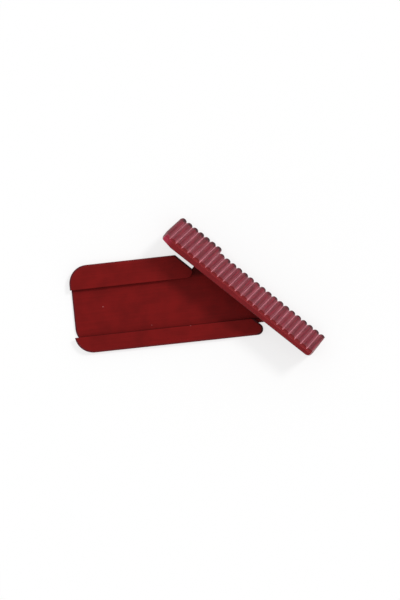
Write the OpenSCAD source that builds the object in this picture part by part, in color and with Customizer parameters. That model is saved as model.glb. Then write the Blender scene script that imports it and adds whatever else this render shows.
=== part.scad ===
// Guiro: a folded steel plate with a ridged scraping bar screwed across its mitred end.
// The plate lies flat, and its two long edges are folded over inward into flat lips.
// Between the lips and the panel under them is a shallow channel, open at the square end.
// Past the mitre the panel runs on as a tongue, and the bar stands on that tongue at the same slant.
// The bar has an upright back, a narrow flat top and a sloping front crossed by round ridges.
// Origin: underside of the plate, on its centre line, halfway between the square end and the mitre.
// +X runs along the plate towards the bar, +Y towards the wide lip, +Z up. Millimetres.

/* [Plate] */
// Width of the plate over its two folds
plate_w = 70.6; // [62:0.1:90]
// Length of the plate along its centre line, from the lips' square ends to the mitre
plate_len = 122; // [96:1:160]
// Thickness of the steel sheet
sheet = 1.5; // [1:0.1:2]
// Clear height of the channel under the lips
channel_h = 2; // [1.5:0.1:4]
// Width of the wide lip, measured from the outside of its fold
wide_lip = 19.2; // [12:0.1:24]
// Width of the narrow lip, measured from the outside of its fold
narrow_lip = 13.2; // [10:0.1:20]
// Radius of the lips' corners at the square end
corner_r = 15; // [8:0.5:16]
// Distance of the panel's square end behind the lips' ends
panel_setback = 0.7; // [0.1:0.1:2]
// Distance of the panel's own round corners inside the folds
corner_relief = 6; // [4:0.5:8]
// Radius that blunts the sharp tips of the lips at the mitre
tip_r = 4.8; // [1:0.1:5]
// Slant of the mitre and of the bar, from square across the plate
mitre_angle = 45; // [40:1:50]

/* [Tongue] */
// Reach of the tongue under the bar, from the bar's back
tongue_reach = 16; // [13:0.5:18]
// Distance of the tongue's root from the centre line, on the wide lip's side, where it is square to the bar
tongue_wide_side = 23; // [18:0.5:26]
// Distance of the tongue's edge from the centre line, on the narrow lip's side
tongue_narrow_side = 25.5; // [18:0.5:27]

/* [Bar] */
// Height of the bar from its base to its flat top
bar_h = 25; // [20:0.5:32]
// Width of the bar's base, at its end on the wide lip's side
bar_w = 23.3; // [19:0.1:28]
// Width of the bar's flat top, at its end on the wide lip's side
top_w = 5.2; // [3:0.1:7]
// Height of the upright toe below the sloping front
toe_h = 1.5; // [1:0.1:4]
// How much narrower the bar is at its end on the narrow lip's side, all of it taken off its back
back_taper = 1.4; // [0:0.1:2]
// Length of the slanted cut at the bar's back corner on the wide lip's side
corner_cut_len = 11; // [6:0.5:14]
// Depth of that cut at the bar's end
corner_cut_w = 1.8; // [0.2:0.1:2.5]
// Radius of the bar's back corner on the wide lip's side
wide_corner_r = 3; // [0.5:0.5:4]
// Radius of the bar's back corner on the narrow lip's side
narrow_corner_r = 3; // [0.5:0.5:5]
// Height of the bevel at the top of the bar's end on the wide lip's side
end_bevel_h = 4; // [1:0.5:8]
// Width of that bevel along the flat top
end_bevel_w = 1.9; // [0.5:0.1:2.5]
// Gap between the ends of the lips and the bar's back, before its taper
bar_gap = 2.6; // [1:0.1:6]
// Shift of the bar along itself, towards the narrow lip's side
bar_shift = 8; // [0:0.1:15]

/* [Ridges] */
// Number of ridges across the sloping front
ridge_count = 25; // [15:1:30]
// Distance from one ridge to the next
ridge_pitch = 6; // [5:0.1:8]
// Height of a ridge above the sloping front
ridge_rise = 2.2; // [1.2:0.1:2.3]
// Flat strip left between two ridges
valley_w = 0.5; // [0.3:0.1:1]
// Number of ridges, from the wide lip's side, that run all the way down to the toe
long_ridges = 7; // [1:1:9]
// How much earlier the other ridges stop, measured down the slope
ridge_cut = 5; // [1:0.5:6]
// How much of the last ridge is cut off with the bar's end on the narrow lip's side
end_trim = 0.9; // [0:0.1:2]

/* [Screws] */
// Number of screws that hold the bar to the tongue
screw_count = 3; // [2:1:3]
// Distance from one screw to the next
screw_pitch = 24; // [18:1:26]
// Distance of the row of screws from the bar's back
screw_inset = 9; // [7:0.5:10]
// Diameter of a screw's shank
screw_d = 3.5; // [3:0.1:4.5]
// Length of a screw, from the face of its head to its point
screw_len = 16; // [12:1:18]
// Diameter of a screw's countersunk head
head_d = 6.5; // [6:0.1:8]
// Length of a screw's point
point_len = 3; // [2:0.5:4]
// Width of the slots of the cross recess in a screw's head
recess_w = 1; // [0.8:0.1:1.2]
// Depth of the cross recess
recess_depth = 1.1; // [0.8:0.1:1.4]

/* [Clearances] */
// Clearance round a screw in the plate and in the bar
screw_gap = 0.1; // [0.05:0.05:0.2]
// How far a screw's head lies below the underside of the plate
head_sink = 0.2; // [0.1:0.1:0.3]

/* [Hidden] */
$fn = 96;

half_w = plate_w / 2;
fold_r = sheet + channel_h / 2;
plate_h = 2 * fold_r;
fold_y = half_w - fold_r;
square_end = -plate_len / 2;
mitre_x = plate_len / 2;
wide_lip_edge = half_w - wide_lip;
narrow_lip_edge = narrow_lip - half_w;
bar_back_x = mitre_x + bar_gap / cos(mitre_angle);
ridges_len = ridge_count * ridge_pitch;
bar_end = ridges_len / 2;
narrow_end = end_trim - bar_end;
panel_end = square_end + panel_setback;
slope = atan2(bar_h - toe_h, bar_w - top_w);
slope_len = norm([bar_w - top_w, bar_h - toe_h]);
ridge_half = (ridge_pitch - valley_w) / 2;
ridge_r = (ridge_half * ridge_half + ridge_rise * ridge_rise) / (2 * ridge_rise);
// How deep a ridge roots in the slope
ridge_root = 0.6;
head_h = (head_d - screw_d) / 2;
// Ends of the row of screws' stretch of the tongue, and its middle, in the bar's own frame
screw_wide_end = tongue_wide_side / cos(mitre_angle) + bar_gap * tan(mitre_angle);
screw_narrow_end = -tongue_narrow_side / cos(mitre_angle) - screw_inset * tan(mitre_angle);
screw_mid = (screw_wide_end + screw_narrow_end) / 2;
// How far a cut runs past the face that it opens
past = 1;
// A length greater than the whole bar's
beyond = 2 * ridges_len;

function unit(v) = v / norm(v);
function corner_angle(a, p, b) = acos(unit(a - p) * unit(b - p));
function tangent_point(p, q, angle, r) = p + unit(q - p) * r / tan(angle / 2);
function arc_centre(a, p, b, r) = p + unit(unit(a - p) + unit(b - p)) * r / sin(corner_angle(a, p, b) / 2);
function wrapped(list, i) = list[(i + len(list)) % len(list)];

// A point on the mitre, or on a line parallel to it, that crosses the centre line at x
function on_mitre(x, y) = [x - y * tan(mitre_angle), y];

// A flat outline whose corners take the radii given, where 0 leaves a corner sharp
module rounded_outline(points, radii) {
    polygon([
        for (i = [0 : len(points) - 1])
            let (a = wrapped(points, i - 1), p = points[i], b = wrapped(points, i + 1), r = radii[i])
            let (angle = corner_angle(a, p, b))
            each r == 0 ? [p] : [tangent_point(p, a, angle, r), tangent_point(p, b, angle, r)]
    ]);
    for (i = [0 : len(points) - 1])
        if (radii[i] > 0)
            translate(arc_centre(wrapped(points, i - 1), points[i], wrapped(points, i + 1), radii[i]))
                circle(r = radii[i]);
}

// A flat bar with half-round ends, centred on the width of the plate
module half_round_bar(r) {
    translate([-fold_y, fold_r - r])
        square([2 * fold_y, 2 * r]);
    for (side = [-1, 1])
        translate([side * fold_y, fold_r])
            circle(r = r);
}

// Section of the folded plate across its length: panel, two folds and two lips
module folded_section() {
    difference() {
        half_round_bar(fold_r);
        half_round_bar(channel_h / 2);
        translate([narrow_lip_edge, fold_r])
            square([wide_lip_edge - narrow_lip_edge, plate_h]);
    }
}

// Outline of the plate seen from above, up to the mitre
module plate_outline() {
    rounded_outline(
        [
            [square_end, -half_w],
            on_mitre(mitre_x, -half_w),
            on_mitre(mitre_x, half_w),
            [square_end, half_w]
        ],
        [corner_r, tip_r, 0, corner_r]
    );
}

// Outline of the wide lip alone, whose inner tip at the mitre is blunted too
module wide_lip_outline() {
    rounded_outline(
        [
            [square_end - past, wide_lip_edge],
            on_mitre(mitre_x, wide_lip_edge),
            on_mitre(mitre_x, half_w + past),
            [square_end - past, half_w + past]
        ],
        [0, tip_r, 0, 0]
    );
}

// Outline of the panel at the square end, with its own round corners inside the folds
module panel_end_outline() {
    panel_half = half_w - corner_relief;
    panel_corner_r = corner_r - panel_setback;
    rounded_outline(
        [
            [panel_end, -panel_half],
            [square_end + corner_r + past, -panel_half],
            [square_end + corner_r + past, panel_half],
            [panel_end, panel_half]
        ],
        [panel_corner_r, 0, 0, panel_corner_r]
    );
}

// Outline of the tongue, which starts within the panel and ends parallel to the bar
module tongue_outline() {
    tongue_root_x = 0;
    tongue_end_x = bar_back_x + tongue_reach / cos(mitre_angle);
    wide_root = on_mitre(mitre_x, tongue_wide_side);
    wide_end = wide_root + (bar_gap + tongue_reach) * [cos(mitre_angle), sin(mitre_angle)];
    polygon([
        [tongue_root_x, -tongue_narrow_side],
        on_mitre(tongue_end_x, -tongue_narrow_side),
        wide_end,
        wide_root,
        [tongue_root_x, tongue_wide_side]
    ]);
}

// Bar's own frame: X from its back to its front, Y along it, Z up from the top of the tongue
module on_tongue() {
    translate([bar_back_x, 0, sheet])
        rotate([0, 0, mitre_angle])
            children();
}

// Frame of the sloping front: X down the slope, Y along the bar, Z out of the slope
module on_slope() {
    translate([top_w, 0, bar_h])
        rotate([0, slope, 0])
            children();
}

// Children at each screw's place, with Z up from the face of the screw's head
module at_screws() {
    for (i = [0 : screw_count - 1])
        on_tongue()
            translate([screw_inset, screw_mid + (i - (screw_count - 1) / 2) * screw_pitch, head_sink - sheet])
                children();
}

// A countersunk screw, or with a gap the room that it needs
module screw_body(gap) {
    shank_r = screw_d / 2 + gap;
    shank_len = screw_len - point_len;
    cylinder(r1 = head_d / 2 + gap, r2 = shank_r, h = head_h);
    cylinder(r = shank_r, h = shank_len);
    translate([0, 0, shank_len])
        cylinder(r1 = shank_r, r2 = shank_r / 4, h = point_len + gap);
}

// Room for a screw, with the straight mouth that lets its head lie below the surface
module screw_room() {
    screw_body(screw_gap);
    translate([0, 0, -head_sink - past])
        cylinder(r = head_d / 2 + screw_gap, h = head_sink + past);
}

// One ridge, as a round-backed strip that runs down the slope and roots in it
module ridge() {
    intersection() {
        translate([0, 0, ridge_rise - ridge_r])
            rotate([0, 90, 0])
                cylinder(r = ridge_r, h = slope_len);
        translate([0, -ridge_r, -ridge_root])
            cube([slope_len, 2 * ridge_r, ridge_root + ridge_rise + past]);
    }
}

// What the bevel takes off the top of the bar's end, high enough to clear the ridges
module end_bevel() {
    low = [bar_end, bar_h - end_bevel_h];
    high = [bar_end, bar_h] + [-2 * end_bevel_w, end_bevel_h];
    translate([-past, 0, 0])
        rotate([90, 0, 90])
            linear_extrude(bar_w + 2 * past)
                polygon([low, [bar_end + past, low[1]], [bar_end + past, high[1]], high]);
}

module folded_plate() {
    color([0.45, 0.10, 0.10])
    difference() {
        union() {
            intersection() {
                translate([square_end - past, 0, 0])
                    rotate([90, 0, 90])
                        linear_extrude(plate_len + plate_w)
                            folded_section();
                linear_extrude(plate_h)
                    plate_outline();
            }
            linear_extrude(sheet)
                tongue_outline();
        }
        translate([0, 0, fold_r])
            linear_extrude(plate_h)
                difference() {
                    translate([square_end - past, wide_lip_edge - past])
                        square([plate_len + plate_w, wide_lip + 2 * past]);
                    wide_lip_outline();
                }
        translate([0, 0, -past])
            linear_extrude(past + fold_r)
                difference() {
                    translate([square_end - past, -half_w - past])
                        square([corner_r + past, plate_w + 2 * past]);
                    panel_end_outline();
                }
        at_screws()
            screw_room();
    }
}

module ridged_bar() {
    section = [[0, 0], [bar_w, 0], [bar_w, toe_h], [top_w, bar_h], [0, bar_h]];
    color([0.55, 0.12, 0.16])
    difference() {
        on_tongue()
            translate([0, -bar_shift, 0])
                difference() {
                    intersection() {
                        union() {
                            translate([0, bar_end, 0])
                                rotate([90, 0, 0])
                                    linear_extrude(ridges_len)
                                        polygon(section);
                            for (i = [0 : ridge_count - 1])
                                translate([0, (i + 0.5) * ridge_pitch - bar_end, 0])
                                    on_slope()
                                        ridge();
                        }
                        linear_extrude(2 * bar_h)
                            rounded_outline(
                                [
                                    [back_taper, narrow_end],
                                    [2 * bar_w, narrow_end],
                                    [2 * bar_w, bar_end],
                                    [corner_cut_w, bar_end],
                                    [0, bar_end - corner_cut_len]
                                ],
                                [narrow_corner_r, 0, 0, wide_corner_r, 0]
                            );
                    }
                    end_bevel();
                    translate([0, -bar_end - past, 0])
                        on_slope()
                            translate([slope_len - ridge_cut, 0, -beyond / 2])
                                cube([beyond, (ridge_count - long_ridges) * ridge_pitch + past, beyond]);
                }
        at_screws()
            screw_room();
    }
}

module fixing_screws() {
    color([0.72, 0.72, 0.74])
    at_screws()
        difference() {
            screw_body(0);
            for (turn = [0, 90])
                rotate([0, 0, turn])
                    translate([-head_d / 4, -recess_w / 2, -past])
                        cube([head_d / 2, recess_w, recess_depth + past]);
        }
}

folded_plate();
ridged_bar();
fixing_screws();
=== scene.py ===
# A guiro: a folded steel plate that carries a ridged bar across its slanted end.
# The plate comes first, then the bar that stands on its tongue, then the screws that hold the
# two together from below, and last the floor, the light and the camera.
import math

import bmesh
import bpy
from mathutils import Matrix, Vector


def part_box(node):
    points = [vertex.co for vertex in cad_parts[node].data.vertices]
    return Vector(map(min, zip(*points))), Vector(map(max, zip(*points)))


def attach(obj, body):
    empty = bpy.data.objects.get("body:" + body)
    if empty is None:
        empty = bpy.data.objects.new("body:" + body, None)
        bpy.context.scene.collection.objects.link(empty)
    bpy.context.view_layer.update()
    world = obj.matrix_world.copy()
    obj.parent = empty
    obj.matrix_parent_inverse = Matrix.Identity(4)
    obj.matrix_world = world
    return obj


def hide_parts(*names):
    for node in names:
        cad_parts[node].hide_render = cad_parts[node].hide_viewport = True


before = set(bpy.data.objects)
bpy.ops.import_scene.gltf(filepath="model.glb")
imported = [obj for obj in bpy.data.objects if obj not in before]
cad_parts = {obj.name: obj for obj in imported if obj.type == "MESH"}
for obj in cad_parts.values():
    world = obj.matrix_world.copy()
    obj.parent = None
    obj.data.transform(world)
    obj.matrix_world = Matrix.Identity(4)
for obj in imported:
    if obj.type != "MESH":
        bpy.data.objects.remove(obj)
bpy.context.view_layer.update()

# Folded plate: one piece of 1.5 mm sheet steel, cut to a slant at one end and powder coated dark red.
# Its two long edges are folded right over into flat lips, a wide one and a narrow one.
# Past the slanted cut the panel runs on as a tongue, which is drilled and countersunk for the screws.
mm = 0.001
plate_low, plate_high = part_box("folded_plate")
sheet = 1.5 * mm
wide_lip = 19.2 * mm
narrow_lip = 13.2 * mm
corner_r = 15 * mm
panel_setback = 0.7 * mm
corner_relief = 6 * mm
tip_r = 4.8 * mm
mitre = math.radians(45)
tongue_wide_side = 23 * mm
tongue_narrow_side = 25.5 * mm
rim_round = 0.5 * mm
fold_steps = 16
corner_cuts = 14
same_place = 0.001 * mm

square_end = plate_low.x
mitre_x = -square_end
half_w = -plate_low.y
fold_r = plate_high.z / 2
fold_y = half_w - fold_r
wide_lip_edge = half_w - wide_lip
narrow_lip_edge = narrow_lip - half_w
panel_end = square_end + panel_setback
panel_half = half_w - corner_relief
panel_corner_r = corner_r - panel_setback
tongue_end_x = plate_high.x - tongue_narrow_side * math.tan(mitre)
mitre_normal = Vector((math.cos(mitre), math.sin(mitre), 0))


def edges_of(geometry):
    """The edges among what a mesh operator gives back."""
    return [g for g in geometry if isinstance(g, bmesh.types.BMEdge)]


def verts_of(geometry):
    """The vertices among what a mesh operator gives back."""
    return [g for g in geometry if isinstance(g, bmesh.types.BMVert)]


def edges_where(mesh, holds):
    """The edges of a mesh that have both ends where a test holds."""
    return [e for e in mesh.edges if all(holds(v.co) for v in e.verts)]


def everything(faces):
    """Faces with their edges and vertices, as a cut needs them, in the same order each run."""
    edges = dict.fromkeys(e for f in faces for e in f.edges)
    verts = dict.fromkeys(v for f in faces for v in f.verts)
    return list(verts) + list(edges) + list(faces)


def flat_faces(mesh, height):
    """The faces of the sheet that lie at a height."""
    return [f for f in mesh.faces if all(abs(v.co.z - height) < same_place for v in f.verts)]


def score(mesh, faces, point, normal):
    """Cuts faces along a plane and keeps both sides."""
    bmesh.ops.bisect_plane(mesh, geom=everything(faces), plane_co=point, plane_no=normal)


def trim(mesh, faces, point, normal):
    """Cuts faces along a plane and drops what lies beyond it. Gives back the edges of the cut."""
    cut = bmesh.ops.bisect_plane(mesh, geom=everything(faces), plane_co=point, plane_no=normal,
                                 clear_outer=True)
    return edges_of(cut["geom_cut"])


def round_cuts(centre, radius, start, end):
    """Short straight cuts that round a corner between two angles, each a point and a normal."""
    half_step = math.radians(end - start) / corner_cuts / 2
    angles = [math.radians(start) + (2 * i + 1) * half_step for i in range(corner_cuts)]
    normals = [Vector((math.cos(a), math.sin(a), 0)) for a in angles]
    return [(centre + radius * math.cos(half_step) * normal, normal) for normal in normals]


def mitre_tip(edge_y):
    """Centre of the round that blunts the sharp tip where a lip's edge meets the mitre."""
    y = edge_y + tip_r
    x = mitre_x - y * math.tan(mitre) - tip_r / math.cos(mitre)
    return Vector((x, y, 0))


def new_piece(name, mesh, *materials):
    """Turns a finished bmesh into an object at the origin."""
    data = bpy.data.meshes.new(name)
    mesh.to_mesh(data)
    mesh.free()
    for material in materials:
        data.materials.append(material)
    piece = bpy.data.objects.new(name, data)
    bpy.context.scene.collection.objects.link(piece)
    return piece


def bake_modifiers(piece):
    """Makes what a piece's modifiers do part of its mesh."""
    shaped = piece.evaluated_get(bpy.context.evaluated_depsgraph_get())
    piece.data = bpy.data.meshes.new_from_object(shaped)
    piece.modifiers.clear()


def cut_away(piece, cutter):
    """Takes the space of a cutter out of a piece."""
    cut = piece.modifiers.new("cut", "BOOLEAN")
    cut.operation = "DIFFERENCE"
    cut.solver = "EXACT"
    cut.object = cutter
    bake_modifiers(piece)


def smooth_faces(piece, sharp_angle):
    """Smooth shading that keeps the sharp edges and leaves flat faces flat."""
    piece.data.polygons.foreach_set("use_smooth", [True] * len(piece.data.polygons))
    piece.data.set_sharp_from_angle(angle=math.radians(sharp_angle))
    even = piece.modifiers.new("even shading", "WEIGHTED_NORMAL")
    even.keep_sharp = True


class Shade:
    """A socket of a material. Arithmetic on it adds Math nodes, and add makes any other node."""

    def __init__(self, tree, socket=None):
        self.tree = tree
        self.socket = socket

    @staticmethod
    def pick(sockets, key):
        if isinstance(key, int):
            return sockets[key]
        return next(s for s in sockets if s.name == key and not s.is_unavailable)

    def add(self, kind, inputs, output=0, **settings):
        node = self.tree.nodes.new(kind)
        for name, value in settings.items():
            setattr(node, name, value)
        for key, value in inputs.items():
            self.feed(node, key, value)
        return Shade(self.tree, self.pick(node.outputs, output)) if node.outputs else None

    def also(self, output):
        """Another output of the node that this one comes from."""
        return Shade(self.tree, self.pick(self.socket.node.outputs, output))

    def feed(self, node, key, value):
        socket = self.pick(node.inputs, key)
        if isinstance(value, Shade):
            self.tree.links.new(value.socket, socket)
        else:
            socket.default_value = value

    def math(self, operation, first, second):
        return self.add("ShaderNodeMath", {0: first, 1: second}, operation=operation)

    def __add__(self, other):
        return self.math("ADD", self, other)

    def __radd__(self, other):
        return self.math("ADD", other, self)

    def __sub__(self, other):
        return self.math("SUBTRACT", self, other)

    def __rsub__(self, other):
        return self.math("SUBTRACT", other, self)

    def __mul__(self, other):
        return self.math("MULTIPLY", self, other)

    def __rmul__(self, other):
        return self.math("MULTIPLY", other, self)

    def __pow__(self, power):
        return self.math("POWER", self, power)

    def __abs__(self):
        return self.math("ABSOLUTE", self, 0.0)

    def at_least(self, other):
        return self.math("MAXIMUM", self, other)

    def at_most(self, other):
        return self.math("MINIMUM", self, other)

    def rise(self, low, high):
        """A smooth step from 0 at low to 1 at high."""
        return self.add("ShaderNodeMapRange", {"Value": self, "From Min": low, "From Max": high},
                        interpolation_type="SMOOTHSTEP")

    def mix(self, below, above):
        """A colour that goes from below to above as this value goes from 0 to 1."""
        inputs = {"Factor": self, "A": below, "B": above}
        return self.add("ShaderNodeMix", inputs, "Result", data_type="RGBA")

    def noise(self, size, detail=2.0, stretch=(1, 1, 1)):
        """Noise at this point whose patches are about size across, longer where stretch is above 1."""
        scaled = self.add("ShaderNodeVectorMath", {0: self, 1: stretch}, operation="DIVIDE")
        inputs = {"Vector": scaled, "Scale": 1 / size, "Detail": detail}
        return self.add("ShaderNodeTexNoise", inputs, "Fac")

    def spot(self, place, radius):
        """A small round mark on the surface at a place."""
        away = self.add("ShaderNodeVectorMath", {0: self, 1: place}, "Value", operation="DISTANCE")
        return 1 - away.rise(0.6 * radius, radius)


def new_material(name):
    """A material, with the object's coordinates as the point to draw on and the shader to feed."""
    material = bpy.data.materials.new(name)
    material.use_nodes = True
    tree = material.node_tree
    point = Shade(tree).add("ShaderNodeTexCoord", {}, "Object")
    return material, point, tree.nodes["Principled BSDF"]


def colour(red, green, blue):
    """A colour given as it looks on a screen, 0 to 255, in the linear form that shaders use."""
    def linear(c):
        c = c / 255
        return c / 12.92 if c < 0.04045 else ((c + 0.055) / 1.055) ** 2.4
    return (linear(red), linear(green), linear(blue), 1.0)


def dress(point, shader, base, roughness, bump, bump_depth):
    """Feeds what changes over a surface to its shader: colour, roughness and height of grain."""
    normal = point.add("ShaderNodeBump", {"Height": bump, "Strength": 1.0, "Distance": bump_depth})
    point.feed(shader, "Base Color", base)
    point.feed(shader, "Roughness", roughness)
    point.feed(shader, "Normal", normal)


# Powder coat: dark red, nearly matt, with a fine orange peel, faint clouding and a few specks of dust.
# Painted shade darkens the rounded cut ends and long edges, most at the mitre in the bar's shadow.
# Painted shade, partly grime, lies beside the narrow lip, and painted shade by the bar under the wide
# lip's tip.
coat_deep = colour(105, 8, 7)
coat_light = colour(121, 13, 12)
# Painted shade colours: for the rounded edges, for the mitre and for the creases beside the lips
coat_edge_shade = colour(84, 26, 34)
mitre_shade = colour(48, 14, 18)
coat_crease_shade = colour(66, 0, 0)
dust = colour(176, 112, 112)
# Widths and strengths of the painted shade along the edges and in the creases
edge_shade_w = 1.6 * mm
edge_shade_cover = 0.9
side_edge_shade = 0.4
crease_shade_w = 1.1 * mm
bar_shade_reach = 12 * mm
dust_cover = 0.8
grit_size = 0.18 * mm
coat_gloss = 0.12
lengthwise_grain = (24, 1, 1)
dust_specks = [
    (Vector((-36.3 * mm, 0.5 * mm, sheet)), 0.5 * mm),
    (Vector((1.3 * mm, -18.4 * mm, sheet)), 0.35 * mm),
    (Vector((32.5 * mm, narrow_lip_edge, plate_high.z)), 0.5 * mm),
]

powder_coat, on_plate, coat_shader = new_material("powder_coat")
clouding = on_plate.noise(14 * mm, 3.0)
rolling = on_plate.noise(1.2 * mm, 3.0, lengthwise_grain)
peel = on_plate.noise(0.7 * mm, 1.0)
grit = on_plate.noise(grit_size, 2.0)
lengthwise = on_plate.add("ShaderNodeSeparateXYZ", {"Vector": on_plate}, "X")
across = lengthwise.also("Y")
upward = lengthwise.also("Z")


def inside_end(end_x, half, radius):
    """Distance in from the rounded outline of a square end at end_x that reaches half to each side."""
    inward = (end_x + radius - lengthwise).at_least(0.0)
    outward = (abs(across) - (half - radius)).at_least(0.0)
    return radius - (inward ** 2 + outward ** 2) ** 0.5


on_lip = upward.rise(fold_r - sheet / 2, fold_r)
panel_rim = inside_end(panel_end, panel_half, panel_corner_r)
lip_rim = inside_end(square_end, half_w, corner_r)
at_end = 1 - lengthwise.rise(square_end + 0.7 * corner_r, square_end + corner_r)
# Painted shade along the rounded cut ends, weaker along the lips' long edges
end_edge_shade = 1 - (panel_rim + on_lip * (lip_rim - panel_rim)).rise(0.5 * edge_shade_w, edge_shade_w)
end_edge_shade = end_edge_shade * (at_end + side_edge_shade * on_lip * (1 - at_end))
to_mitre = mitre_x * math.cos(mitre) - lengthwise * math.cos(mitre) - across * math.sin(mitre)
tip_centre = mitre_tip(-half_w)
past_tip_x = lengthwise - tip_centre.x
past_tip_y = across - tip_centre.y
in_tip = past_tip_x.rise(-same_place, same_place)
in_tip = in_tip * (past_tip_x - past_tip_y).rise(-same_place, same_place)
tip_edge_shade = in_tip * (past_tip_x ** 2 + past_tip_y ** 2) ** 0.5
tip_edge_shade = tip_edge_shade.rise(tip_r - edge_shade_w, tip_r - 0.5 * edge_shade_w)
# Painted shade along the lips' mitre edges and round the narrow lip's tip, where the bar's shadow falls
mitre_edge_shade = (1 - to_mitre.rise(0.5 * edge_shade_w, edge_shade_w)).at_least(tip_edge_shade) * on_lip
on_panel_top = upward.rise(0.6 * sheet, 0.8 * sheet) * (1 - on_lip)
# Painted shade, partly grime, in the crease beside the narrow lip, deepening by the bar, and painted
# shade on the panel by the bar under the wide lip's tip
beside_lip = abs(across - narrow_lip_edge)
by_bar = 1 - to_mitre.rise(-2 * mm, bar_shade_reach)
lip_crease_shade = (1 - beside_lip.rise(0.2 * crease_shade_w, crease_shade_w)) * (0.6 + 0.35 * by_bar)
corner_shade = across.rise(wide_lip_edge - 1 * mm, wide_lip_edge + 3 * mm) * by_bar
crease_shade = lip_crease_shade.at_least(0.9 * corner_shade) * on_panel_top

coat_colour = (0.7 * clouding + 0.3 * rolling).rise(0.3, 0.7).mix(coat_deep, coat_light)
# Painted shade in the creases, then painted shade on the rounded edges and darkest at the mitre
coat_colour = crease_shade.mix(coat_colour, coat_crease_shade)
coat_colour = (edge_shade_cover * end_edge_shade).mix(coat_colour, coat_edge_shade)
coat_colour = (edge_shade_cover * mitre_edge_shade).mix(coat_colour, mitre_shade)
for place, radius in dust_specks:
    coat_colour = (dust_cover * on_plate.spot(place, radius)).mix(coat_colour, dust)
dress(on_plate, coat_shader, coat_colour, 0.5 + 0.1 * clouding + 0.08 * grit,
      0.7 * peel + 0.3 * grit, 0.03 * mm)
coat_shader.inputs["Specular IOR Level"].default_value = coat_gloss

# Rubbed rim: the rounded edges of the sheet, painted dark as shade, lighter and smoother where hands
# have rubbed it
shaded_rubbed_rim, on_rim, rim_shader = new_material("shaded_rubbed_rim")
rubbing = on_rim.noise(2.5 * mm, 3.0).rise(0.35, 0.75)
rim_grit = on_rim.noise(grit_size, 2.0)
# Painted shade on the rounded edges, back to the coat's own colour where rubbed
rim_shade_colour = rubbing.mix(coat_edge_shade, coat_light)
dress(on_rim, rim_shader, rim_shade_colour, 0.5 - 0.12 * rubbing, rim_grit, 0.02 * mm)
rim_shader.inputs["Specular IOR Level"].default_value = coat_gloss

# The sheet is drawn as its outer face, flat panel first, and gets its thickness inwards at the end
plate_mesh = bmesh.new()
blank_len = plate_high.x - square_end
bmesh.ops.create_grid(plate_mesh, x_segments=1, y_segments=1, size=0.5)
bmesh.ops.scale(plate_mesh, vec=(blank_len, 2 * fold_y, 1), verts=plate_mesh.verts)
bmesh.ops.translate(plate_mesh, vec=(square_end + blank_len / 2, 0, 0), verts=plate_mesh.verts)
for side, lip_edge in ((1, wide_lip_edge), (-1, narrow_lip_edge)):
    root = edges_where(plate_mesh, lambda co: abs(co.y - side * fold_y) < same_place)
    fold = bmesh.ops.spin(plate_mesh, geom=root, cent=(0, side * fold_y, fold_r), axis=(1, 0, 0),
                          angle=side * math.pi, steps=fold_steps)
    lip = bmesh.ops.extrude_edge_only(plate_mesh, edges=edges_of(fold["geom_last"]))
    bmesh.ops.translate(plate_mesh, vec=(0, lip_edge - side * fold_y, 0), verts=verts_of(lip["geom"]))

trim(plate_mesh, plate_mesh.faces[:], (mitre_x, 0, 0), mitre_normal)
corners = [
    (Vector((square_end + corner_r, half_w - corner_r, 0)), corner_r, 90, 180),
    (Vector((square_end + corner_r, corner_r - half_w, 0)), corner_r, 180, 270),
    (mitre_tip(-half_w), tip_r, 270, 360 + math.degrees(mitre)),
]
for corner in corners:
    for point, normal in round_cuts(*corner):
        trim(plate_mesh, plate_mesh.faces[:], point, normal)
for point, normal in round_cuts(mitre_tip(wide_lip_edge), tip_r, 270, 360 + math.degrees(mitre)):
    wide_lip_faces = [f for f in flat_faces(plate_mesh, plate_high.z) if f.verts[0].co.y > 0]
    trim(plate_mesh, wide_lip_faces, point, normal)


def below_folds(limit_x):
    """The faces of the sheet below the middle of the folds, up to a limit along the plate."""
    return [
        f for f in plate_mesh.faces
        if all(v.co.z < fold_r + same_place and v.co.x < limit_x + same_place for v in f.verts)
    ]


relief_x = square_end + corner_r
score(plate_mesh, below_folds(plate_high.x), (relief_x, 0, 0), (1, 0, 0))
for panel_side in (panel_half, -panel_half):
    score(plate_mesh, flat_faces(plate_mesh, 0), (0, panel_side, 0), (0, 1, 0))
bmesh.ops.split(plate_mesh, geom=below_folds(relief_x))
trim(plate_mesh, below_folds(relief_x), (panel_end, 0, 0), (-1, 0, 0))
for side, start, end in ((1, 90, 180), (-1, 270, 180)):
    panel_corner = Vector((relief_x, side * (panel_half - panel_corner_r), 0))
    for point, normal in round_cuts(panel_corner, panel_corner_r, start, end):
        trim(plate_mesh, below_folds(relief_x), point, normal)
bmesh.ops.remove_doubles(plate_mesh, verts=plate_mesh.verts, dist=same_place)

for tongue_side in (tongue_wide_side, -tongue_narrow_side):
    score(plate_mesh, flat_faces(plate_mesh, 0), (0, tongue_side, 0), (0, 1, 0))


def at_panel_mitre(place):
    """Whether a place lies on the mitre, at the height of the panel."""
    return place.z < sheet and abs((place - Vector((mitre_x, 0, 0))).dot(mitre_normal)) < same_place


tongue_root = [
    e for e in edges_where(plate_mesh, at_panel_mitre)
    if -tongue_narrow_side < (e.verts[0].co.y + e.verts[1].co.y) / 2 < tongue_wide_side
]
tongue = bmesh.ops.extrude_edge_only(plate_mesh, edges=tongue_root)
tongue_run = tongue_end_x - mitre_x
wide_side_run = tongue_run * math.cos(mitre) * mitre_normal
narrow_side_run = Vector((tongue_run, 0, 0))
for vert in verts_of(tongue["geom"]):
    vert.co += wide_side_run if vert.co.y > 0 else narrow_side_run
bmesh.ops.recalc_face_normals(plate_mesh, faces=plate_mesh.faces)

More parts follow.
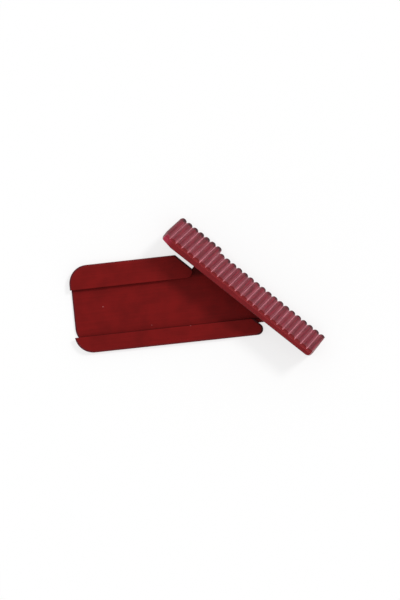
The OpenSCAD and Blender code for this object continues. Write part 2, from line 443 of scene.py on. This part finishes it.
folded_plate = new_piece("folded_plate_coated", plate_mesh, powder_coat, shaded_rubbed_rim)
thickness = folded_plate.modifiers.new("sheet", "SOLIDIFY")
thickness.thickness = sheet
thickness.offset = -1
rims = folded_plate.modifiers.new("rims", "BEVEL")
rims.width = rim_round
rims.segments = 3
rims.limit_method = "ANGLE"
rims.angle_limit = math.radians(60)
rims.material = 1
bake_modifiers(folded_plate)

# Screw holes: the room of each screw, widest at the countersink under the tongue
screw_low, screw_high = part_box("fixing_screws")
head_r = 3.25 * mm
shank_r = 1.75 * mm
point_len = 3 * mm
screw_gap = 0.1 * mm
screw_count = 3
turning_steps = 40
head_h = head_r - shank_r
screw_len = screw_high.z - screw_low.z
first_screw = Vector((screw_low.x + head_r, screw_high.y - head_r, screw_low.z))
last_screw = Vector((screw_high.x - head_r, screw_low.y + head_r, screw_low.z))
screw_places = [first_screw.lerp(last_screw, i / (screw_count - 1)) for i in range(screw_count)]


def turned(outline, places):
    """A round solid turned from an outline of radius and height, repeated at each place."""
    mesh = bmesh.new()
    for place in places:
        line = [mesh.verts.new(place + Vector((radius, 0, height))) for radius, height in outline]
        edges = [mesh.edges.new(pair) for pair in zip(line, line[1:])]
        bmesh.ops.spin(mesh, geom=line + edges, cent=place, axis=(0, 0, 1), angle=2 * math.pi,
                       steps=turning_steps, use_merge=True)
    bmesh.ops.remove_doubles(mesh, verts=mesh.verts, dist=same_place)
    bmesh.ops.recalc_face_normals(mesh, faces=mesh.faces)
    return mesh


room_r = shank_r + screw_gap
screw_rooms = new_piece("screw_rooms", turned(
    [
        (0, -sheet),
        (head_r + screw_gap, -sheet),
        (head_r + screw_gap, 0),
        (room_r, head_h),
        (room_r, screw_len - point_len),
        (room_r / 4, screw_len + screw_gap),
        (0, screw_len + screw_gap),
    ],
    screw_places))
cut_away(folded_plate, screw_rooms)
smooth_faces(folded_plate, 35)
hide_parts("folded_plate")
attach(folded_plate, "root")

# Ridged bar: one solid bar with an upright back, a narrow flat top and a sloping front.
# The front is moulded into 25 round ridges, square at both ends, that a stick is drawn across.
# It stands on the tongue at the angle of the mitre and is finished in glossy crimson lacquer.
bar_h = 25 * mm
bar_w = 23.3 * mm
top_w = 5.2 * mm
toe_h = 1.5 * mm
back_taper = 1.4 * mm
bar_gap = 2.6 * mm
bar_shift = 8 * mm
wide_corner_r = 3 * mm
narrow_corner_r = 3 * mm
end_bevel_h = 4 * mm
end_bevel_w = 1.9 * mm
corner_cut_len = 11 * mm
corner_cut_w = 1.8 * mm
back_round = 0.8 * mm
end_round = 0.2 * mm
ridge_count = 25
ridge_pitch = 6 * mm
ridge_rise = 2.2 * mm
valley_w = 0.5 * mm
long_ridges = 7
ridge_cut = 5 * mm
end_trim = 0.9 * mm
ridge_end_round = 0.4 * mm
groove = 0.5 * mm
arch_steps = 14
round_steps = 4

bar_end = ridge_count * ridge_pitch / 2
narrow_end = end_trim - bar_end
slope = math.atan2(bar_h - toe_h, bar_w - top_w)
slope_len = math.hypot(bar_h - toe_h, bar_w - top_w)
ridge_half = (ridge_pitch - valley_w) / 2
ridge_r = (ridge_half ** 2 + ridge_rise ** 2) / (2 * ridge_rise)
ridge_sweep = math.asin(ridge_half / ridge_r)
short_end = (ridge_count - long_ridges) * ridge_pitch - bar_end
shoulder_r = groove * math.cos(slope) / (1 - math.cos(slope))
bar_back_x = mitre_x + bar_gap / math.cos(mitre)
bar_frame = Matrix.Translation((bar_back_x, 0, sheet)) @ Matrix.Rotation(mitre, 4, "Z")
bar_frame = bar_frame @ Matrix.Translation((0, -bar_shift, 0))
slope_frame = Matrix.Translation((top_w, 0, bar_h)) @ Matrix.Rotation(slope, 4, "Y")

# Lacquer: dark crimson on the flat top and the crests, with streaks along the ridges, with a painted
# reflection at the wide end of the flat top and a painted highlight along the shoulder. The valleys
# between the ridges are painted pale pink, and the ridges' lower ends are painted dark grey-brown.
lacquer_deep = colour(111, 13, 20)
lacquer_light = colour(125, 20, 26)
# Painted highlight for the rounded shoulder
lacquer_shoulder_highlight = colour(148, 34, 38)
lacquer_bright = colour(132, 6, 40)
# Painted reflection for the wide end of the flat top
lacquer_end_reflection = colour(164, 44, 68)
lacquer_dull = colour(112, 44, 46)
lacquer_rubbed = colour(172, 70, 80)
crest_dark = colour(95, 4, 27)
valley_pale = colour(187, 117, 128)
valley_bright = colour(196, 121, 129)
tip_dark = colour(52, 24, 28)
paleness_depth = 2.1 * mm
paleness_fall = 1.3
end_reflection_len = 11 * mm
short_tip = 3 * mm
long_tip_more = 1.2 * mm
tip_ragged = 9 * mm
tip_cover = 0.9
patch_cover = 0.3
rub_cover = 0.12
lacquer_gloss = 0.22
down_grain = (30, 1, 1)

lacquer, on_bar, lacquer_shader = new_material("crimson_lacquer")
whole_frame = bar_frame @ slope_frame
on_front = on_bar.add("ShaderNodeMapping", {
    "Vector": on_bar,
    "Location": whole_frame.to_translation(),
    "Rotation": whole_frame.to_euler(),
}, vector_type="TEXTURE")
# Places on the sloping front: down it, along the bar and out of it
down = on_front.add("ShaderNodeSeparateXYZ", {"Vector": on_front}, "X")
along = down.also("Y")
out = down.also("Z")
streaks = on_front.noise(0.55 * mm, 2.0, down_grain)
clouds = on_front.noise(9 * mm, 3.0)
pores = on_front.noise(0.3 * mm, 2.0, (6, 1, 1))
grain = on_front.noise(0.4 * mm, 1.0, down_grain).rise(0.3, 0.7)
patches = on_front.noise(3.4 * mm, 1.0).rise(0.3, 0.7)
# Where the front, its valleys, its shoulder and its dark lower ends are
ridge_turn = (along + bar_end) * (1 / ridge_pitch)
ridge_side = ridge_turn.math("FRACT", ridge_turn, 0.0)
in_valley = abs(ridge_side - 0.5).rise(0.36, 0.46)
front = down.rise(0.3 * mm, 0.8 * mm).at_least(in_valley * down.rise(0.0, 0.6 * mm))
front = front * out.rise(-0.9 * mm, -0.5 * mm)
long_part = along.rise(short_end - same_place, short_end + same_place)
lower_end = slope_len - ridge_cut + ridge_cut * long_part
above_toe = 1 - (down - lower_end).rise(-0.4 * mm, -0.05 * mm)
# How pale the valleys are painted, palest at their floors
valley_paleness = (1 - out * (1 / paleness_depth)).at_least(0.0).at_most(1.0) ** paleness_fall
valley_paleness = valley_paleness * front * above_toe
# The shoulder, where a painted highlight runs along the rounded edge
shoulder = out.rise(-0.9 * mm, -0.4 * mm) * (1 - out.rise(0.6 * mm, 1.2 * mm))
shoulder = shoulder * (1 - down.rise(0.3 * mm, 0.5 * mm))
# The ridges' lower ends are painted dark grey-brown over a ragged length
ragged = on_front.noise(1.1 * mm, 3.0, (3, 1, 1)) - 0.5
tip_len = short_tip + long_tip_more * long_part + tip_ragged * ragged
tip = (down - lower_end + tip_len).rise(-0.8 * mm, 2 * mm) * out.rise(0.5 * mm, 1.3 * mm)
tip = tip * (1 - 0.5 * ridge_side.rise(0.45, 0.75))
# Painted reflection on the flat top near the wide end
top_end_reflection = along.rise(bar_end - end_reflection_len, bar_end - 3 * mm) * (1 - down.rise(0.0, 1 * mm))
end_flank = along.rise(bar_end - 4 * mm, bar_end - 2.5 * mm)

bar_colour = (0.5 * streaks + 0.5 * clouds).rise(0.32, 0.68).mix(lacquer_deep, lacquer_light)
# Painted highlight along the shoulder
bar_colour = (shoulder * (0.8 + 0.2 * clouds)).mix(bar_colour, lacquer_shoulder_highlight)
# Painted reflection at the wide end
bar_colour = (top_end_reflection * (0.6 + 0.6 * streaks)).at_most(1.0).mix(bar_colour, lacquer_end_reflection)
bar_colour = (front * (0.8 + 0.2 * clouds)).mix(bar_colour, crest_dark)
bar_colour = (patch_cover * front * patches).mix(bar_colour, lacquer_dull)
bar_colour = (patch_cover * front * (1 - patches)).mix(bar_colour, lacquer_bright)
bar_colour = (rub_cover * front * grain).mix(bar_colour, lacquer_rubbed)
# The valleys are painted pale pink, paler still towards their upper ends
valley_colour = (1 - down.rise(1 * mm, 5 * mm)).mix(valley_pale, valley_bright)
valley_paleness = (valley_paleness * (0.8 + 0.4 * streaks) * (1 - end_flank)).at_most(1.0)
bar_colour = valley_paleness.mix(bar_colour, valley_colour)
grain_light = 1 + (0.3 + 0.35 * front) * (grain - 0.5)
bar_colour = bar_colour.add("ShaderNodeVectorMath", {0: bar_colour, "Scale": grain_light},
                            operation="SCALE")
bar_colour = (tip_cover * tip).mix(bar_colour, tip_dark)
dress(on_bar, lacquer_shader, bar_colour, 0.3 + 0.12 * streaks + 0.06 * clouds + 0.2 * tip,
      0.6 * streaks + 0.4 * pores, 0.03 * mm)
lacquer_shader.inputs["Specular IOR Level"].default_value = lacquer_gloss

# The skin is drawn ridge by ridge on the slope, then carried on round the top, the back and the base
bar_mesh = bmesh.new()


def front_len(y):
    """How far down the slope the front reaches at y."""
    return slope_len - (ridge_cut if y < short_end else 0)


def ridge_line(y):
    """The foot of the ridge at y, from its upper end to its lower one, rounded over at both ends."""
    points = []
    for i in range(round_steps):
        turn = math.pi / 2 * i / (round_steps - 1)
        inset = ridge_end_round * (1 - math.sin(turn))
        foot_y = y - (ridge_r - inset) * math.sin(ridge_sweep)
        foot_z = ridge_rise - ridge_r + (ridge_r - inset) * math.cos(ridge_sweep)
        points.append(Vector((ridge_end_round * (1 - math.cos(turn)), foot_y, foot_z)))
    lower = [Vector((front_len(y) - p.x, p.y, p.z)) for p in reversed(points)]
    return points + lower


def sweep_on(edges, points):
    """Extrudes a row of edges to the points given, one for each vertex in its order along the ridge."""
    grown = bmesh.ops.extrude_edge_only(bar_mesh, edges=edges)
    fresh = sorted(verts_of(grown["geom"]), key=lambda v: v.co.x)
    for vert, point in zip(fresh, points):
        vert.co = point
    return edges_of(grown["geom"])


ridge_places = [(i + 0.5) * ridge_pitch - bar_end for i in range(ridge_count)]
end_line = [Vector((p.x, -bar_end, p.z)) for p in ridge_line(ridge_places[0])]
end_verts = [bar_mesh.verts.new(p) for p in end_line]
row = [bar_mesh.edges.new(pair) for pair in zip(end_verts, end_verts[1:])]
for place in ridge_places:
    row = sweep_on(row, ridge_line(place))
    arch = bmesh.ops.spin(bar_mesh, geom=row, cent=(0, place, ridge_rise - ridge_r), axis=(1, 0, 0),
                          angle=-2 * ridge_sweep, steps=arch_steps)
    row = edges_of(arch["geom_last"])
sweep_on(row, [Vector((p.x, bar_end, p.z)) for p in ridge_line(ridge_places[-1])])


def at_lower_end(place):
    """Whether a place on the slope is at the lower end of the long ridges or of the short ones."""
    return min(abs(place.x - slope_len), abs(place.x - slope_len + ridge_cut)) < same_place


upper_edges = edges_where(bar_mesh, lambda co: abs(co.x) < same_place)
lower_edges = edges_where(bar_mesh, at_lower_end)
upper_rim = bmesh.ops.extrude_edge_only(bar_mesh, edges=upper_edges)["geom"]
lower_rim = bmesh.ops.extrude_edge_only(bar_mesh, edges=lower_edges)["geom"]
for vert in verts_of(upper_rim) + verts_of(lower_rim):
    vert.co.z = -groove
bmesh.ops.transform(bar_mesh, matrix=slope_frame, verts=bar_mesh.verts)


def carry_on(edges, move):
    """Extrudes a long row of edges by one straight move."""
    grown = bmesh.ops.extrude_edge_only(bar_mesh, edges=edges)["geom"]
    bmesh.ops.translate(bar_mesh, vec=move, verts=verts_of(grown))
    return edges_of(grown)


def roll_on(edges, x, z, angle):
    """Carries a long row of edges round an edge of the bar whose round is centred at x and z."""
    grown = bmesh.ops.spin(bar_mesh, geom=edges, cent=(x, 0, z), axis=(0, 1, 0), angle=angle,
                           steps=round_steps)
    return edges_of(grown["geom_last"])


shoulder_x = top_w - (groove + shoulder_r) * math.sin(slope)
skin = roll_on(edges_of(upper_rim), shoulder_x, bar_h - shoulder_r, -slope)
skin = carry_on(skin, (back_round - shoulder_x, 0, 0))
skin = roll_on(skin, back_round, bar_h - back_round, -math.pi / 2)
skin = carry_on(skin, (0, 0, back_round - bar_h))
base = bmesh.ops.extrude_edge_only(bar_mesh, edges=skin)["geom"]
toe = bmesh.ops.extrude_edge_only(bar_mesh, edges=edges_of(lower_rim))["geom"]
for vert in verts_of(base) + verts_of(toe):
    foot = slope_frame @ Vector((front_len(vert.co.y), 0, -groove))
    run = foot.z * math.tan(slope) if vert.co.y < short_end else 0
    vert.co.x = foot.x - run
    vert.co.z = 0
bmesh.ops.remove_doubles(bar_mesh, verts=bar_mesh.verts, dist=same_place)
bmesh.ops.holes_fill(bar_mesh, edges=[e for e in bar_mesh.edges if e.is_boundary])
bmesh.ops.recalc_face_normals(bar_mesh, faces=bar_mesh.faces)


def saw(point, normal):
    """Cuts the bar along a plane, drops what lies beyond it and closes the cut."""
    rim = trim(bar_mesh, bar_mesh.faces[:], point, normal)
    bmesh.ops.holes_fill(bar_mesh, edges=rim)


cut_start = bar_end - corner_cut_len
cut_angle = math.atan2(corner_cut_w, corner_cut_len)
for vert in bar_mesh.verts:
    if vert.co.x < back_round + same_place:
        vert.co.x += back_taper * max(0, cut_start - vert.co.y) / (cut_start - narrow_end)
saw((0, narrow_end, 0), (0, -1, 0))
saw((0, bar_end, bar_h - end_bevel_h), (0, end_bevel_h, end_bevel_w))
saw((0, cut_start, 0), (-corner_cut_len, corner_cut_w, 0))
narrow_corner = Vector((back_taper + narrow_corner_r, narrow_end + narrow_corner_r, 0))
wide_corner_x = corner_cut_w + wide_corner_r * (1 - math.sin(cut_angle)) / math.cos(cut_angle)
wide_corner = Vector((wide_corner_x, bar_end - wide_corner_r, 0))
for corner in ((narrow_corner, narrow_corner_r, 180, 270),
               (wide_corner, wide_corner_r, 180 - math.degrees(cut_angle), 90)):
    for point, normal in round_cuts(*corner):
        saw(point, normal)
for end_y, inward in ((narrow_end, 1), (bar_end, -1)):
    end_faces = [f for f in bar_mesh.faces if all(abs(v.co.y - end_y) < same_place for v in f.verts)]
    end_ring = list(dict.fromkeys(v for f in end_faces for v in f.verts))
    bmesh.ops.inset_region(bar_mesh, faces=end_faces, thickness=end_round, use_even_offset=True)
    bmesh.ops.translate(bar_mesh, vec=(0, inward * end_round, 0), verts=end_ring)
bmesh.ops.transform(bar_mesh, matrix=bar_frame, verts=bar_mesh.verts)
bmesh.ops.recalc_face_normals(bar_mesh, faces=bar_mesh.faces)

ridged_bar = new_piece("ridged_bar_lacquered", bar_mesh, lacquer)
cut_away(ridged_bar, screw_rooms)
bpy.data.objects.remove(screw_rooms)
smooth_faces(ridged_bar, 40)
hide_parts("ridged_bar")
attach(ridged_bar, "root")

# Fixing screws: three countersunk wood screws of plated steel, driven up through the tongue into the
# bar. Their heads are sunk just into the plate's underside, and each has a cross recess.
thread_pitch = 1.3 * mm
thread_root_r = 1.2 * mm
thread_turns = 8
recess_w = 1 * mm
recess_depth = 1.1 * mm
head_edge = 0.12 * mm

steel_dark = colour(136, 136, 140)
steel_light = colour(188, 188, 192)
plated_steel, on_screw, steel_shader = new_material("plated_steel")
turning = on_screw.noise(0.25 * mm, 2.0, (1, 1, 4))
stain = on_screw.noise(1.6 * mm, 3.0)
dress(on_screw, steel_shader, stain.rise(0.3, 0.7).mix(steel_dark, steel_light),
      0.32 + 0.2 * turning, turning, 0.01 * mm)
steel_shader.inputs["Metallic"].default_value = 1.0

thread_start = screw_len - point_len - thread_turns * thread_pitch
outline = [
    (0, 0),
    (head_r - head_edge, 0),
    (head_r, head_edge),
    (shank_r, head_h),
    (shank_r, thread_start),
]
for turn in range(thread_turns):
    crest = thread_start + turn * thread_pitch
    outline.append((thread_root_r, crest + 0.3 * thread_pitch))
    outline.append((thread_root_r, crest + 0.8 * thread_pitch))
    outline.append((shank_r, crest + thread_pitch))
outline += [(shank_r / 4, screw_len - shank_r / 4), (0, screw_len)]
fixing_screws = new_piece("fixing_screws_plated", turned(outline, screw_places), plated_steel)
for turn in (0, math.pi / 2):
    slots_mesh = bmesh.new()
    for place in screw_places:
        slot = Matrix.Translation(place) @ Matrix.Rotation(turn, 4, "Z")
        slot = slot @ Matrix.Diagonal((head_r, recess_w, 2 * recess_depth, 1))
        bmesh.ops.create_cube(slots_mesh, size=1, matrix=slot)
    slots = new_piece("recess_slots", slots_mesh)
    cut_away(fixing_screws, slots)
    bpy.data.objects.remove(slots)
smooth_faces(fixing_screws, 35)
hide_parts("fixing_screws")
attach(fixing_screws, "root")

# Floor, light and camera: a wide white floor under the object and one soft key light high on the right,
# in a studio that is white round the floor and dimmer overhead. A long lens looks almost straight down.
floor_half = 3.0
floor_drop = 0.05 * mm
floor_glow = 0.7
key_from = Vector((0.907, 0.506, 1.0))
key_strength = 1.36
key_spread = math.radians(13)
ceiling = 0.6
walls = 0.9
camera_place = Vector((191.6, -77.4, 1733.5)) * mm
camera_target = Vector((41.8, -2.6, 1.5)) * mm
camera_up = Vector((0.1085, 0.9935, 0.0335))
camera_lens = 130.9
white = (1.0, 1.0, 1.0, 1.0)

white_floor = bpy.data.materials.new("white_floor")
white_floor.use_nodes = True
white_floor.node_tree.nodes.clear()
on_floor = Shade(white_floor.node_tree)
seen = on_floor.add("ShaderNodeLightPath", {}, "Is Camera Ray")
seen = seen.at_least(seen.also("Is Glossy Ray")).at_least(seen.also("Is Transmission Ray"))
paint = on_floor.add("ShaderNodeBsdfDiffuse", {"Color": white})
glow = on_floor.add("ShaderNodeEmission", {"Color": white, "Strength": 1.0})
top_side = on_floor.add("ShaderNodeMixShader", {0: floor_glow * seen, 1: paint, 2: glow})
from_below = on_floor.add("ShaderNodeNewGeometry", {}, "Backfacing")
see_through = on_floor.add("ShaderNodeBsdfTransparent", {})
both_sides = on_floor.add("ShaderNodeMixShader", {0: from_below, 1: top_side, 2: see_through})
on_floor.add("ShaderNodeOutputMaterial", {"Surface": both_sides})

floor_mesh = bmesh.new()
bmesh.ops.create_grid(floor_mesh, x_segments=1, y_segments=1, size=floor_half)
bmesh.ops.translate(floor_mesh, vec=(0, 0, -floor_drop), verts=floor_mesh.verts)
floor = new_piece("floor", floor_mesh, white_floor)

studio = bpy.data.worlds.new("studio")
studio.use_nodes = True
studio.node_tree.nodes.clear()
in_studio = Shade(studio.node_tree)
direction = in_studio.add("ShaderNodeTexCoord", {}, "Generated")
steepness = direction.add("ShaderNodeSeparateXYZ", {"Vector": direction}, "Z")
level = steepness.add("ShaderNodeMapRange", {"Value": steepness, "To Min": walls, "To Max": ceiling})
air = in_studio.add("ShaderNodeBackground", {"Color": white, "Strength": level})
in_studio.add("ShaderNodeOutputWorld", {"Surface": air})
bpy.context.scene.world = studio

key = bpy.data.lights.new("key", "SUN")
key.energy = key_strength
key.angle = key_spread
key_light = bpy.data.objects.new("key", key)
key_light.rotation_euler = key_from.to_track_quat("Z", "Y").to_euler()
bpy.context.scene.collection.objects.link(key_light)

view_back = (camera_place - camera_target).normalized()
view_right = camera_up.cross(view_back).normalized()
view_up = view_back.cross(view_right)
lens = bpy.data.cameras.new("camera")
lens.lens = camera_lens
camera = bpy.data.objects.new("camera", lens)
view_axes = Matrix((view_right, view_up, view_back)).transposed().to_4x4()
camera.matrix_world = Matrix.Translation(camera_place) @ view_axes
bpy.context.scene.collection.objects.link(camera)
bpy.context.scene.camera = camera
bpy.context.scene.view_settings.view_transform = "Standard"
